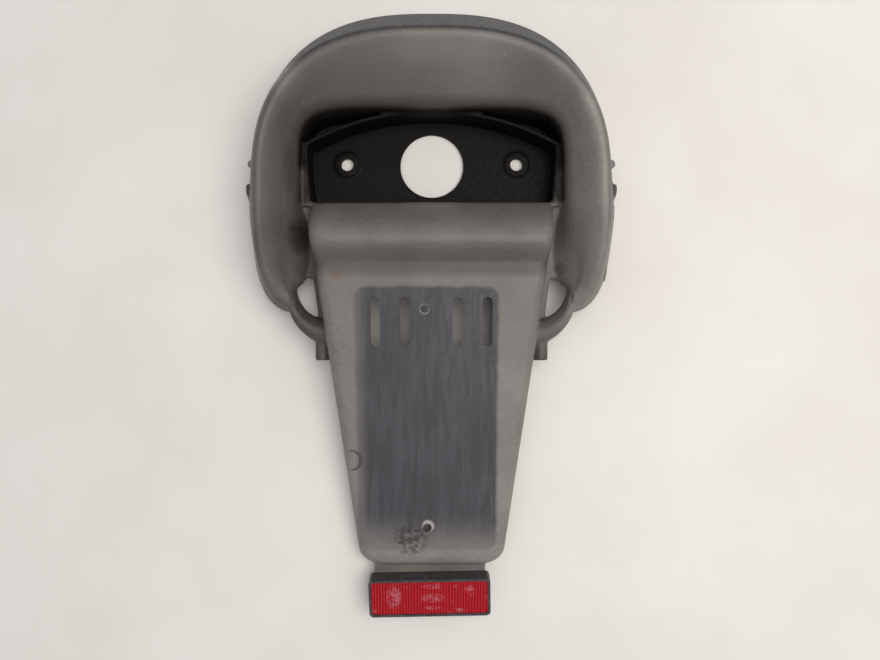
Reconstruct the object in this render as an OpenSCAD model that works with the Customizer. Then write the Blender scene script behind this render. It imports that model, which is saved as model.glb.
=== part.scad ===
// Rear license plate holder of a motorbike, lying on its back with the plate side up.
// The origin is the centre of the lamp's bore, on the plane that the part lies on.

/* [Moulding] */
// Wall thickness of the moulding
wall = 3; // [2.4:0.1:3.6]

/* [Lamp seat] */
// Bore for the back of the tail lamp
lamp_bore_d = 50; // [40:1:56]
// Distance between the two lamp screw holes
lamp_screw_spacing = 134; // [122:1:146]
// Diameter of a lamp screw hole
lamp_screw_d = 10; // [6:0.5:11]
// Height of the screw holes above the middle of the bore
lamp_screw_rise = 1; // [-4:0.5:4]
// Outer diameter of the raised collar round a screw hole
lamp_collar_d = 19; // [16:0.5:22]
// Height of that collar above the floor
lamp_collar_h = 1.6; // [1:0.1:3]
// Outer width of the walled seat
seat_w = 194; // [186:1:198]
// Distance from the bore down to the seat's lower wall
seat_drop = 33; // [31:0.5:36]
// Distance from the bore up to the top of the seat's arched wall
seat_rise = 37.5; // [35:0.5:39]
// Height on the side walls at which the arch starts
seat_shoulder = 12; // [6:0.5:16]
// Height of the seat's walls
seat_h = 28; // [22:0.5:32]
// Width of the groove for the lamp's gasket
gasket_groove_w = 3.6; // [2.5:0.1:5]
// Depth of that groove
gasket_groove_depth = 1.2; // [0.6:0.1:1.8]

/* [Hood] */
// Width inside the hood's outer rim, where its visible face is a wall further out, as for all its sizes
hood_w = 282; // [274:1:290]
// Height of the inside of the hood's rim above the bore
hood_top = 120; // [112:1:128]
// Height inside the hood above the plane that it lies on
hood_h = 63; // [56:0.5:68]
// Width inside the ridge between the front face and the outer wall
ridge_w = 249; // [240:1:256]
// Height of the inside of that ridge above the bore
ridge_top = 82; // [76:0.5:88]
// Width between the hidden faces of the hood's inner walls round the lamp
mouth_w = 205; // [201:0.5:210]
// Height of the hidden face of the mouth's upper wall above the bore
mouth_top = 38.5; // [37.5:0.5:44]
// Height inside the hood at the mouth's edge
mouth_h = 44; // [38:0.5:48]
// Distance from the bore down to where the arch of the hood ends and its arms begin
arch_drop = 30; // [26:0.5:34]
// Squareness of the hood's outline, where 2 is an ellipse
hood_square = 2.65; // [2.3:0.05:3]
// Squareness of the mouth's outline
mouth_square = 6; // [4.5:0.1:7]
// Outward flare of the rim where the hood runs into its arms
rim_flare = 2; // [0:0.5:4]
// Radius class of the rounding along the ridge
ridge_round = 5; // [3:0.5:8]
// Radius class of the rounding along the mouth
mouth_round = 8; // [5:0.5:12]

/* [Arms] */
// Length of an arm below the arch
arm_drop = 84.5; // [82:0.5:87]
// Height inside the ridge at an arm's end
arm_end_h = 36; // [32:0.5:42]
// Height of the web that joins an arm to the tongue
web_h = 25; // [22:0.5:28]
// Squareness of an arm's round end, where 2 is an ellipse
arm_square = 2.15; // [2:0.05:2.5]
// Outward bulge of the ridge half way down an arm
arm_bulge = 2; // [0:0.5:4]
// Distance that an arm's inner edge keeps out half way down
arm_tuck = 4; // [0:0.5:5]
// Distance that an arm's foot spreads in towards the tongue half way down
arm_spread = 8; // [4:0.5:9]
// Radius of the strut's outer edge under the window
strut_r = 33.5; // [32.5:0.5:35]
// Distance from the middle plane to the centre of that edge
strut_x = 74; // [73:0.5:75]
// Distance from the bore down to the centre of that edge
strut_drop = 109; // [108:0.5:111]
// Height inside the strut where it meets the tongue
strut_h = 30; // [28:0.5:33]
// Radius of the curved side of the window
window_r = 24; // [22:0.5:25]
// Distance from the middle plane to the outer side of the window
window_side_x = 102.5; // [102.5:0.5:104]
// Distance from the bore down to the middle of that curved side
window_mid_drop = 97.5; // [95:0.5:99]
// Distance from the bore down to the straight top of the window
window_drop = 90.5; // [88:0.5:92]
// Width of the ledge that stays between the window and the tongue
window_ledge = 6; // [3:0.5:8]

/* [Tongue] */
// Width of the tongue where it leaves the lamp seat
tongue_top_w = 184; // [178:1:188]
// Width of the tongue at its lower end
tongue_end_w = 110; // [100:1:118]
// Distance from the bore down to the lower end of the tongue
tongue_drop = 311; // [290:1:330]
// Distance from the bore down to the crest of the ledge
crest_drop = 65; // [62:0.5:68]
// Height of the crest
crest_h = 62; // [56:0.5:64]
// Distance from the bore down to the valley below the crest
valley_drop = 82; // [79:0.5:84]
// Height of the valley
valley_h = 50; // [46:0.5:54]
// Distance from the bore down to the upper end of the flat plate panel
panel_drop = 94; // [91:0.5:98]
// Height of the panel at its upper end
panel_top_h = 52; // [48:0.5:56]
// Height of the panel at its lower end
panel_end_h = 20; // [17:0.5:24]
// Rounding between the panel and the tongue's side walls
tongue_round = 9; // [6:0.5:11]
// Corner radius at the lower end of the tongue
tongue_corner = 12; // [8:0.5:16]
// Height of the lower edge of the side walls beside the lamp seat
skirt_top_h = 17; // [10:0.5:18]
// Depth of the side walls along the lower part of the panel
skirt_depth = 15; // [14:0.5:17]

/* [Plate fixings] */
// Width of a plate slot
slot_w = 7.2; // [5:0.2:9]
// Length of a plate slot
slot_l = 36; // [26:1:40]
// Distance from the bore down to the middle of the slots
slot_drop = 124; // [118:1:130]
// Distance between the two outer slots
outer_slot_spacing = 82; // [76:1:88]
// Distance between the two inner slots
inner_slot_spacing = 38.4; // [30:0.2:50]
// Diameter of the drilled hole near the slots
upper_hole_d = 6; // [4:0.2:8]
// Place of the upper drilled hole across the tongue
upper_hole_x = -4.8; // [-8:0.2:8]
// Distance from the bore down to the upper drilled hole
upper_hole_drop = 114.5; // [108:0.5:140]
// Diameter of the torn hole at the lower end of the panel
lower_hole_d = 7; // [4:0.2:9]
// Place of the torn hole across the tongue
lower_hole_x = -3.4; // [-8:0.2:8]
// Distance from the bore down to the torn hole
lower_hole_drop = 281; // [270:0.5:288]

/* [Side fixings] */
// Distance from the bore down to the middle of a side lug
lug_drop = 14; // [12:0.5:17]
// Width of a side lug
lug_w = 15; // [12:0.5:17]
// Height of the middle of the lug's hole above the plane
lug_h = 18; // [16:0.5:21]
// Distance that the lug's outer face stands out past the inner face of the hood's wall
lug_out = 0.9; // [0.5:0.1:1.5]
// Thickness of the lug under its clip nut
lug_t = 2.6; // [2:0.1:3.4]
// Lean of the hood's side walls and lugs from upright
lug_lean = 17; // [12:1:22]
// Clear width of the notch in the side wall round the lug
notch_w = 32; // [28:0.5:36]
// Height of the notch
notch_h = 32; // [29:0.5:36]
// Distance that the upper guide ear stands out past the lug's face
upper_ear_out = 1.5; // [1:0.5:3]
// Distance that the lower guide ear stands out
lower_ear_out = 2.5; // [1.5:0.5:4]
// Width of the upper guide ear
upper_ear_w = 5; // [4:0.5:7]
// Width of the lower guide ear
lower_ear_w = 13; // [10:0.5:14]
// Distance from the bore down to where the right rim is broken
break_drop = 71; // [68:0.5:74]
// Distance from the bore down to the stub of the broken tab
stub_drop = 92; // [89:0.5:94]
// Length of that stub
stub_l = 11; // [8:0.5:13]
// Thickness of the clip nut's spring steel
clip_t = 0.9; // [0.6:0.1:1.2]
// Bore of the clip nut and its lug
clip_bore_d = 5; // [4:0.1:6]
// Width of the clip nut
clip_w = 11; // [9.5:0.5:12]

/* [Socket lugs] */
// Outer diameter of the small socket lug under each strut
socket_d = 11; // [9.5:0.5:12]
// Length of that lug
socket_l = 16; // [12:0.5:20]
// Bore of the socket
socket_bore_d = 5.5; // [4:0.1:6.5]
// Distance from the bore of the lamp down to the open end of the socket
socket_drop = 153; // [150:0.5:156]

/* [Reflector] */
// Width of the reflector
reflector_w = 93; // [86:1:104]
// Height of the reflector
reflector_h = 30.5; // [27:0.5:34]
// Depth of the reflector from its face to its back
reflector_depth = 12.5; // [10:0.5:13]
// Distance from the bore down to the middle of the reflector's face
reflector_drop = 335; // [331:0.5:340]
// Height of the middle of its face above the plane
reflector_face_h = 23.5; // [23:0.1:26]
// Place of the middle of the reflector across the tongue
reflector_x = -1.5; // [-4:0.5:4]
// Tip of the reflector's face away from the panel
reflector_tip = 10; // [6:1:12]
// Turn of the reflector on its stud
reflector_turn = 1.2; // [0:0.2:4]
// Corner radius of the reflector's housing
reflector_corner = 3.5; // [2:0.1:5]
// Wall of the housing round the lens
housing_wall = 1.9; // [1.4:0.1:2.6]
// Thickness of the lens
lens_t = 3; // [2:0.1:4]
// Depth of the lens edge below the housing's rim
lens_inset = 0.5; // [0.2:0.1:1]
// Gap between the lens and the housing's wall
lens_gap = 0.2; // [0.1:0.05:0.4]
// Width of the tab that carries the reflector
tab_w = 86; // [74:1:92]
// Thickness of the tab
tab_t = 3; // [2.4:0.1:3.4]
// Length of tab below the stud
tab_below = 11; // [9:0.5:13]
// Diameter of the stud
stud_d = 5; // [4:0.1:6]
// Length of the stud inside the housing
stud_grip = 5; // [3:0.1:6]
// Gap between the stud and the tab's hole
stud_gap = 0.25; // [0.15:0.05:0.5]
// Outer diameter of the washer
washer_d = 12; // [11:0.5:16]
// Thickness of the washer
washer_t = 1; // [0.8:0.1:1.6]
// Width of the nut across its flats
nut_flats = 8; // [7:0.5:10]
// Height of the nut
nut_h = 4; // [3:0.1:4.4]

/* [Hidden] */
plastic_grey = "#7f7973";
black_plastic = "#1d1d1f";
lens_red = "#96262f";
zinc = "#8f9194";
rusty_steel = "#7a4a2c";
$fn = 48;

// Steps of the lofted surfaces
arch_steps = 12;
leg_steps = 7;
strut_steps = 5;
corner_steps = 3;
ledge_steps = 6;
end_steps = 4;
round_steps = 3;
// How far cutters and buried ends reach past the faces that they cross
past = 1;
// Depth of the block that trims the part along the plane that it lies on
trim_depth = 10;
half_turn = 180;
quarter_turn = 90;

// Heights and places worked out from the driving sizes
seat_half = seat_w / 2;
seat_arc_rise = seat_rise - seat_shoulder;
seat_arc_r = (seat_half * seat_half + seat_arc_rise * seat_arc_rise) / (2 * seat_arc_rise);
arm_inner_x = mouth_w / 2 - wall / 2;
web_low = web_h - wall;
lug_x = mix(hood_w, ridge_w, (lug_h + past) / (hood_h + past)) / 2 + lug_out;
// An arm ends where the strut's outer edge starts
strut_in_r = strut_r - wall;
strut_start = asin((strut_drop - arch_drop - arm_drop) / strut_in_r);
arm_end_x = strut_x + strut_in_r * cos(strut_start);
// Distances from an arm's round end up to where its ridge, mouth and foot lines end
arm_ridge_in = 5;
arm_mouth_in = 15;
arm_foot_in = 20;
// Turns about the two centres at which the strut's guide lines start and end
ridge_start = -1;
mouth_start = -5;
foot_start = 7;
strut_end = -88;
window_x = window_side_x - window_r;
strut_foot_r = window_r + wall;
strut_mouth_r = window_r + 1.5 * wall;
// Share of an arm over which its rim rises, its mouth sinks and its foot lifts
rim_rise = 1.2;
mouth_sink = 1.6;
foot_lift = 6;
flare_end = 3.5;
flare_start = 5.5;
tongue_y0 = -seat_drop;
tongue_y1 = -tongue_drop;
end_flat_half = tongue_end_w / 2 - tongue_corner;
stud_len = (reflector_face_h - stud_d / 2 * sin(reflector_tip)) / cos(reflector_tip);
stud_top = reflector_depth - stud_grip;
thread_gap = 0.05;
socket_h = web_low + wall / 2;
ear_low = 14;
ear_h = 20;
ear_root = 6;
ear_gap = clip_w / 2 + 1;
break_teeth = [0, 1.5, 0.5, 2, 0.5, 1];
break_pitch = 2.2;
break_lean = 0.3;
stub_lean = 10;
stub_in = 6;
stub_w = 4;
leaf_up = 7;
leaf_step = 2;
clip_below = clip_w - leaf_step;
ring_h = 0.8;
barrel_h = 3;

function unit(v) = v / norm(v);
function mix(a, b, t) = a + (b - a) * t;
function clamp01(t) = min(1, max(0, t));
function ease(t) = (1 - cos(half_turn * clamp01(t))) / 2;
function signed_pow(v, p) = sign(v) * pow(abs(v), p);

// Points of a rounded corner at b, between the lines to a and to c
function corner(a, b, c, r, steps) =
    let (p = b + unit(a - b) * r, q = b + unit(c - b) * r)
    [for (k = [0:steps])
        let (t = k / steps) p * (1 - t) * (1 - t) + b * 2 * t * (1 - t) + q * t * t];

// A sheet of even thickness under a grid of points, closed along its four edges
function grid_normal(g, i, j) =
    let (
        last_i = len(g) - 1,
        last_j = len(g[0]) - 1,
        along = g[min(i + 1, last_i)][j] - g[max(i - 1, 0)][j],
        across = g[i][min(j + 1, last_j)] - g[i][max(j - 1, 0)]
    )
    unit(cross(along, across));

module sheet(grid, thickness) {
    n = len(grid);
    m = len(grid[0]);
    under = [for (i = [0:n - 1])
        [for (j = [0:m - 1]) grid[i][j] - thickness * grid_normal(grid, i, j)]];
    rim = concat(
        [for (i = [0:n - 1]) i * m],
        [for (j = [1:m - 1]) (n - 1) * m + j],
        [for (i = [n - 2:-1:0]) i * m + m - 1],
        [for (j = [m - 2:-1:1]) j]
    );
    top_faces = [for (i = [0:n - 2], j = [0:m - 2], half = [0, 1])
        let (a = i * m + j, b = a + 1, c = a + m + 1, d = a + m)
        half == 0 ? [a, b, c] : [a, c, d]];
    low_faces = [for (f = top_faces) [f[2] + n * m, f[1] + n * m, f[0] + n * m]];
    rim_faces = [for (k = [0:len(rim) - 1], half = [0, 1])
        let (a = rim[k], b = rim[(k + 1) % len(rim)], c = b + n * m, d = a + n * m)
        half == 0 ? [a, b, c] : [a, c, d]];
    polyhedron(
        points = concat([for (row = grid) each row], [for (row = under) each row]),
        faces = concat(top_faces, low_faces, rim_faces)
    );
}

// The hood is lofted along an arch that runs on into two arms and two struts. A station is u from
// -1 in the tongue's wall along the strut to 0, up the arm to 1 and over the arch to 2 at its top.
function arch_point(half_w, top, square, turn) =
    [half_w * signed_pow(cos(turn), 2 / square),
        -arch_drop + (top + arch_drop) * signed_pow(sin(turn), 2 / square)];
function leg_point(start_x, end_x, end_drop, turn) =
    [end_x + (start_x - end_x) * pow(cos(turn), 2 / arm_square),
        -arch_drop - end_drop * pow(sin(turn), 2 / arm_square)];

function polar(x, drop, r, turn) = [x + r * cos(turn), -drop + r * sin(turn)];
function raised(p, z) = [p.x, p.y, z];
function flare(u) = rim_flare * (1 - ease(u < 1 ? (1 - u) * flare_end : (u - 1) * flare_start));
function rim_guide(u) = u < 0
    ? raised(polar(strut_x, strut_drop, strut_in_r, mix(strut_start, strut_end, -u)), web_low)
    : u < 1
    ? let (p = leg_point(hood_w / 2 + flare(u), arm_end_x, arm_drop, quarter_turn * (1 - u)))
        raised(p, mix(-past, web_low, ease((1 - u) * rim_rise)))
    : raised(arch_point(hood_w / 2 + flare(u), hood_top, hood_square, arch_turn(u)), -past);
function ridge_guide(u) = u < 0
    ? raised(polar(strut_x, strut_drop, mix(strut_in_r, strut_in_r - wall, -u),
        mix(ridge_start, strut_end, -u)), mix(arm_end_h, strut_h, ease(-u)))
    : u < 1
    ? let (p = leg_point(ridge_w / 2, arm_end_x, arm_drop - arm_ridge_in, quarter_turn * (1 - u)))
        [p.x + arm_bulge * sin(half_turn * (1 - u)), p.y, mix(hood_h, arm_end_h, ease(1 - u))]
    : raised(arch_point(ridge_w / 2, ridge_top, hood_square, arch_turn(u)), hood_h);
function mouth_guide(u) = u < 0
    ? raised(polar(window_x, window_mid_drop, strut_mouth_r, mix(mouth_start, strut_end, -u)),
        mix(arm_end_h - wall, strut_h - wall / 2, ease(-u)))
    : u < 1
    ? let (p = leg_point(mouth_w / 2, window_x + strut_mouth_r * cos(mouth_start), arm_drop - arm_mouth_in,
        quarter_turn * (1 - u)))
        [p.x + arm_tuck * sin(half_turn * (1 - u)), p.y,
            mix(mouth_h, arm_end_h - wall, ease((1 - u) * mouth_sink))]
    : raised(arch_point(mouth_w / 2, mouth_top, mouth_square, arch_turn(u)), mouth_h);
function foot_guide(u) = u < 0
    ? raised(polar(window_x, window_mid_drop, strut_foot_r, mix(foot_start, strut_end, -u)), web_low)
    : u < 1
    ? let (p = leg_point(arm_inner_x, window_x + strut_foot_r * cos(foot_start), arm_drop - arm_foot_in,
        quarter_turn * (1 - u)))
        [p.x - arm_spread * sin(half_turn * (1 - u)), p.y,
            mix(-past, web_low, ease((1 - u) * foot_lift))]
    : raised(arch_point(arm_inner_x, mouth_top, mouth_square, arch_turn(u)), -past);
function arch_turn(u) = quarter_turn * pow(u - 1, 1.5);

function hood_section(u) =
    let (rim = rim_guide(u), ridge = ridge_guide(u), mouth = mouth_guide(u), foot = foot_guide(u),
        soft = min(mouth_round, norm(mouth - foot) / 3, norm(mouth - ridge) / 3),
        tight = min(ridge_round, norm(mouth - ridge) / 3, norm(rim - ridge) / 3))
    concat(
        [rim, mix(rim, ridge, 0.5)],
        corner(rim, ridge, mouth, tight, corner_steps),
        [mix(ridge, mouth, 0.5) + [0, 0, 1]],
        corner(ridge, mouth, foot, soft, corner_steps),
        [mix(mouth, foot, 0.6), foot]
    );
function mirrored(points) = [for (p = points) [-p.x, p.y, p.z]];
function hood_grid() =
    let (
        stations = concat(
            [for (k = [0:strut_steps - 1]) k / strut_steps - 1],
            [for (k = [0:leg_steps - 1]) k / leg_steps],
            [for (k = [0:arch_steps - 1]) 1 + k / arch_steps]
        ),
        left = [for (u = stations) mirrored(hood_section(u))],
        top = [hood_section(2)],
        right = [for (k = [len(stations) - 1:-1:0]) hood_section(stations[k])]
    )
    concat(left, top, right);

// The tongue's profile along its length: the rise from the seat, the crest, the valley and the panel
function panel_height(y) =
    mix(panel_top_h, panel_end_h, (-y - panel_drop) / (tongue_drop - panel_drop));
function tongue_height(y) =
    let (d = -y)
    d < crest_drop
        ? mix(seat_h, crest_h, sin(quarter_turn * clamp01((d - seat_drop) / (crest_drop - seat_drop))))
    : d < valley_drop ? mix(crest_h, valley_h, ease((d - crest_drop) / (valley_drop - crest_drop)))
    : d < panel_drop ? mix(valley_h, panel_top_h, ease((d - valley_drop) / (panel_drop - valley_drop)))
    : panel_height(y);
function tongue_half(y) = mix(tongue_top_w, tongue_end_w, (-y - seat_drop) / (tongue_drop - seat_drop)) / 2;
function skirt_height(y) = min(skirt_top_h, panel_height(y) - skirt_depth);

// One side of a cross-section, from the side wall's lower edge to the middle
function tongue_side(y, half, top, low, r) = concat(
    [[half, y, low], [half, y, top - r]],
    [for (k = [1:round_steps])
        let (a = quarter_turn * k / round_steps) [half - r * (1 - cos(a)), y, top - r * (1 - sin(a))]],
    [[half / 2, y, top], [0, y, top]]
);
function tongue_section(y, half, top, low, r) =
    let (side = tongue_side(y, half, top, low, r))
    concat([for (k = [0:len(side) - 2]) [-side[k].x, side[k].y, side[k].z]],
        [for (k = [len(side) - 1:-1:0]) side[k]]);
function tongue_grid() =
    let (
        corner_y = tongue_y1 + tongue_corner,
        ledge = [for (k = [0:ledge_steps]) mix(tongue_y0, -crest_drop, k / ledge_steps)],
        dip = [for (k = [1:ledge_steps]) mix(-crest_drop, -panel_drop, k / ledge_steps)],
        flat = [mix(-panel_drop, corner_y, 0.5), corner_y],
        end = [for (k = [1:end_steps]) quarter_turn * k / end_steps]
    )
    concat(
        [for (y = concat(ledge, dip, flat))
            tongue_section(y, tongue_half(y), tongue_height(y), skirt_height(y), tongue_round)],
        [for (a = end)
            let (y = corner_y - tongue_corner * sin(a))
            tongue_section(y, tongue_half(y) - tongue_corner * (1 - cos(a)),
                panel_height(y) - tongue_corner / 3 * (1 - cos(a)), skirt_height(y), tongue_round)]
    );

// Places of the parts that sit askew
module at_reflector() {
    translate([reflector_x, -reflector_drop, reflector_face_h])
        rotate([reflector_tip, 0, 0]) rotate([0, 0, reflector_turn]) children();
}
module at_lug(side) {
    mirror([side < 0 ? 1 : 0, 0, 0])
        translate([lug_x, -lug_drop, lug_h]) rotate([0, quarter_turn - lug_lean, 0]) children();
}

module hood_shell() sheet(hood_grid(), wall);
module tongue_shell() sheet(tongue_grid(), wall);

module seat_outline(inset, height, low) {
    intersection() {
        translate([0, seat_rise - seat_arc_r, low]) cylinder(r = seat_arc_r - inset, h = height);
        translate([-seat_half + inset, -seat_drop + inset - wall, low])
            cube([seat_w - 2 * inset, seat_drop + seat_rise + wall, height]);
    }
}
module seat_floor() {
    // The floor runs on to the hood's inner wall, so its edge follows the mouth
    half = arm_inner_x - wall / 2;
    top = mouth_top - wall;
    outline = [for (k = [0:2 * arch_steps])
        arch_point(half, top, mouth_square, half_turn * k / (2 * arch_steps))];
    linear_extrude(wall)
        polygon(concat([[half, -seat_drop - wall / 2]], outline, [[-half, -seat_drop - wall / 2]]));
}
module seat_walls() {
    difference() {
        seat_outline(0, seat_h, 0);
        seat_outline(wall, seat_h, past);
    }
    // The ledge wall closes the seat below, out to the arms
    translate([-arm_inner_x, -seat_drop - wall, 0]) cube([2 * arm_inner_x, wall, web_h]);
    translate([-seat_half, -seat_drop - wall, 0]) cube([seat_w, wall, seat_h]);
    for (side = [-1, 1])
        linear_extrude(seat_h)
            polygon([[side * seat_half, 0], [side * (seat_half - wall), 0],
                [side * (seat_half - 2 * wall), -seat_drop], [side * arm_inner_x, -seat_drop]]);
}

// The flat web between an arm and the tongue, and the ledge beside the window
module web(side) {
    low = window_mid_drop + window_r + wall;
    foot = [for (k = [0:leg_steps])
        let (p = foot_guide(k / leg_steps)) if (p.y > -window_drop) [p.x + wall / 2, p.y]];
    mirror([side < 0 ? 1 : 0, 0, 0]) translate([0, 0, web_low]) linear_extrude(wall)
        polygon(concat(
            [[tongue_half(-seat_drop) - wall / 2, -seat_drop], [tongue_half(-low) - wall / 2, -low],
                [tongue_half(-low) + window_ledge, -low],
                [tongue_half(-window_drop) + window_ledge, -window_drop],
                [window_side_x + wall / 2, -window_drop]],
            foot
        ));
}

// A slot with round ends, cut straight down through the panel
module slot_cut(x) {
    reach = (slot_l - slot_w) / 2;
    translate([x, -slot_drop, web_h + wall]) {
        for (end = [-1, 1]) translate([0, end * reach, 0]) cylinder(d = slot_w, h = crest_h);
        translate([-slot_w / 2, -reach, 0]) cube([slot_w, 2 * reach, crest_h]);
    }
}

module tongue_end_wall() {
    inset = wall / 4;
    y = tongue_y1 + wall;
    section = tongue_section(y, end_flat_half, panel_end_h - tongue_corner / 3 - inset,
        skirt_height(tongue_y1), tongue_round);
    translate([0, y, 0]) rotate([quarter_turn, 0, 0])
        linear_extrude(wall) polygon([for (p = section) [p.x * (1 - inset / end_flat_half), p.z]]);
}

module reflector_tab() {
    // It reaches from below the stud up into the end wall of the tongue
    reach = (reflector_drop - tongue_drop + wall / 2) / cos(reflector_tip);
    translate([reflector_x, -reflector_drop, reflector_face_h]) rotate([reflector_tip, 0, 0])
        translate([-tab_w / 2, -tab_below, -reflector_depth - tab_t])
            cube([tab_w, tab_below + reach, tab_t]);
}

module side_notch(side) {
    mirror([side < 0 ? 1 : 0, 0, 0])
        translate([lug_x - 3 * wall, -lug_drop - notch_w / 2, -past])
            cube([6 * wall, notch_w, notch_h + past]);
}
module side_lug(side) {
    above = (notch_h - lug_h) / cos(lug_lean) + wall;
    at_lug(side) translate([-above, -lug_w / 2, -lug_t]) cube([above + clip_below, lug_w, lug_t]);
}
// The pointed ears that guide the fairing on to the lug, above and below it
module ear(out, w) {
    polygon([[-ear_root, ear_gap], [out, ear_gap], [out, ear_gap + w / 2],
        [0, ear_gap + w], [-ear_root, ear_gap + w]]);
}
module ears(side) {
    mirror([side < 0 ? 1 : 0, 0, 0]) translate([lug_x, -lug_drop, ear_low]) linear_extrude(ear_h) {
        ear(upper_ear_out, upper_ear_w);
        mirror([0, 1, 0]) ear(lower_ear_out, lower_ear_w);
    }
}

module socket_lug(side) {
    x = socket_x(-socket_drop + socket_l / 2);
    translate([side * x, -socket_drop, socket_h]) rotate([-quarter_turn, 0, 0])
        cylinder(d = socket_d, h = socket_l);
    translate([side > 0 ? x - socket_d / 2 - wall : -x, -socket_drop, socket_h - wall / 2])
        cube([socket_d / 2 + wall, socket_l, wall]);
}
function socket_x(y) = tongue_half(y) + socket_d / 2 + past / 2;
module socket_bore(side) {
    x = socket_x(-socket_drop + socket_l / 2);
    translate([side * x, -socket_drop - past, socket_h]) rotate([-quarter_turn, 0, 0])
        cylinder(d = socket_bore_d, h = socket_l - wall + past);
}

// Damage of the right arm: the jagged end of its rim and the stub of a tab that broke off
module rim_break() {
    last = len(break_teeth) - 1;
    edge = [for (k = [0:last])
        [lug_x + break_teeth[k] - k * break_pitch * break_lean, -break_drop - k * break_pitch]];
    translate([0, 0, -past]) linear_extrude(ear_low + past) polygon(concat(edge,
        [[hood_w / 2 + rim_flare, edge[last].y], [hood_w / 2 + rim_flare, edge[0].y]]));
}
module broken_stub() {
    translate([lug_x - stub_in, -stub_drop, ear_low - wall]) rotate([0, 0, -stub_lean])
        cube([stub_w, stub_l, wall]);
}

module gasket_groove() {
    difference() {
        seat_outline(wall, wall, wall - gasket_groove_depth);
        seat_outline(wall + gasket_groove_w, wall + 2 * past, -past);
    }
}

module body() {
    color(plastic_grey) difference() {
        union() {
            difference() {
                hood_shell();
                for (side = [-1, 1]) side_notch(side);
                rim_break();
            }
            tongue_shell();
            tongue_end_wall();
            seat_floor();
            seat_walls();
            for (side = [-1, 1]) {
                web(side);
                side_lug(side);
                ears(side);
                socket_lug(side);
                translate([side * lamp_screw_spacing / 2, lamp_screw_rise, 0])
                    cylinder(d = lamp_collar_d, h = wall + lamp_collar_h);
            }
            broken_stub();
            reflector_tab();
        }
        translate([-hood_w, -2 * tongue_drop, -trim_depth])
            cube([2 * hood_w, 3 * tongue_drop, trim_depth]);
        gasket_groove();
        translate([0, 0, -past]) cylinder(d = lamp_bore_d, h = wall + 2 * past);
        for (side = [-1, 1]) {
            translate([side * lamp_screw_spacing / 2, lamp_screw_rise, -past])
                cylinder(d = lamp_screw_d, h = wall + lamp_collar_h + 2 * past);
            slot_cut(side * outer_slot_spacing / 2);
            slot_cut(side * inner_slot_spacing / 2);
            socket_bore(side);
            at_lug(side) translate([0, 0, -lug_t - past])
                cylinder(d = clip_bore_d + 2 * stud_gap, h = lug_t + 2 * past);
        }
        translate([upper_hole_x, -upper_hole_drop, web_h + wall])
            cylinder(d = upper_hole_d, h = crest_h);
        translate([lower_hole_x, -lower_hole_drop, panel_end_h - 2 * wall])
            cylinder(d = lower_hole_d, h = crest_h);
        at_reflector() translate([0, 0, -reflector_depth - tab_t - past])
            cylinder(d = stud_d + 2 * stud_gap, h = tab_t + 2 * past);
    }
}

module rounded_block(w, h, t, r) {
    for (x = [-1, 1], y = [-1, 1])
        translate([x * (w / 2 - r), y * (h / 2 - r), 0]) cylinder(r = r, h = t);
    translate([-w / 2 + r, -h / 2, 0]) cube([w - 2 * r, h, t]);
    translate([-w / 2, -h / 2 + r, 0]) cube([w, h - 2 * r, t]);
}
module reflector_housing() {
    color(black_plastic) at_reflector() difference() {
        translate([0, 0, -reflector_depth])
            rounded_block(reflector_w, reflector_h, reflector_depth, reflector_corner);
        translate([0, 0, -lens_inset - lens_t])
            rounded_block(reflector_w - 2 * housing_wall, reflector_h - 2 * housing_wall,
                lens_t + lens_inset + past, reflector_corner - housing_wall / 2);
        translate([0, 0, -reflector_depth - past]) cylinder(d = stud_d, h = stud_grip + past);
    }
}
module reflector_lens() {
    inset = housing_wall + lens_gap;
    color(lens_red) at_reflector() translate([0, 0, -lens_inset - lens_t])
        rounded_block(reflector_w - 2 * inset, reflector_h - 2 * inset, lens_t,
            reflector_corner - housing_wall / 2);
}
module reflector_stud() {
    color(zinc) at_reflector() translate([0, 0, -stud_len])
        cylinder(d = stud_d, h = stud_len - stud_top);
}
module reflector_washer() {
    color(zinc) at_reflector() translate([0, 0, -reflector_depth - tab_t - washer_t]) difference() {
        cylinder(d = washer_d, h = washer_t);
        translate([0, 0, -past]) cylinder(d = stud_d + 2 * stud_gap, h = washer_t + 2 * past);
    }
}
module reflector_nut() {
    color(zinc) at_reflector()
        translate([0, 0, -reflector_depth - tab_t - washer_t - nut_h]) difference() {
            cylinder(d = nut_flats / cos(half_turn / 6), h = nut_h, $fn = 6);
            translate([0, 0, -past]) cylinder(d = stud_d + 2 * thread_gap, h = nut_h + 2 * past);
        }
}

// A strip of spring steel that is folded round the lower edge of the lug
module clip_nut(side) {
    bend_r = lug_t / 2 + clip_t;
    color(rusty_steel) at_lug(side) difference() {
        union() {
            translate([-leaf_up, -clip_w / 2, 0]) cube([leaf_up + clip_below, clip_w, clip_t]);
            translate([-leaf_up + leaf_step, -clip_w / 2, -lug_t - clip_t])
                cube([leaf_up - leaf_step + clip_below, clip_w, clip_t]);
            translate([clip_below, clip_w / 2, -lug_t / 2]) rotate([quarter_turn, 0, 0]) difference() {
                cylinder(r = bend_r, h = clip_w);
                translate([0, 0, -past]) cylinder(d = lug_t, h = clip_w + 2 * past);
                translate([-2 * bend_r, -bend_r - past, -past])
                    cube([2 * bend_r, 2 * bend_r + 2 * past, clip_w + 2 * past]);
            }
            cylinder(d = clip_w, h = clip_t + ring_h);
            translate([0, 0, -lug_t - clip_t - barrel_h]) cylinder(d = clip_w - barrel_h, h = barrel_h + past / 2);
        }
        translate([0, 0, -lug_t - clip_t - barrel_h - past])
            cylinder(d = clip_bore_d, h = lug_t + 2 * clip_t + barrel_h + ring_h + 2 * past);
    }
}
module clip_nut_left() clip_nut(-1);
module clip_nut_right() clip_nut(1);

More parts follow.
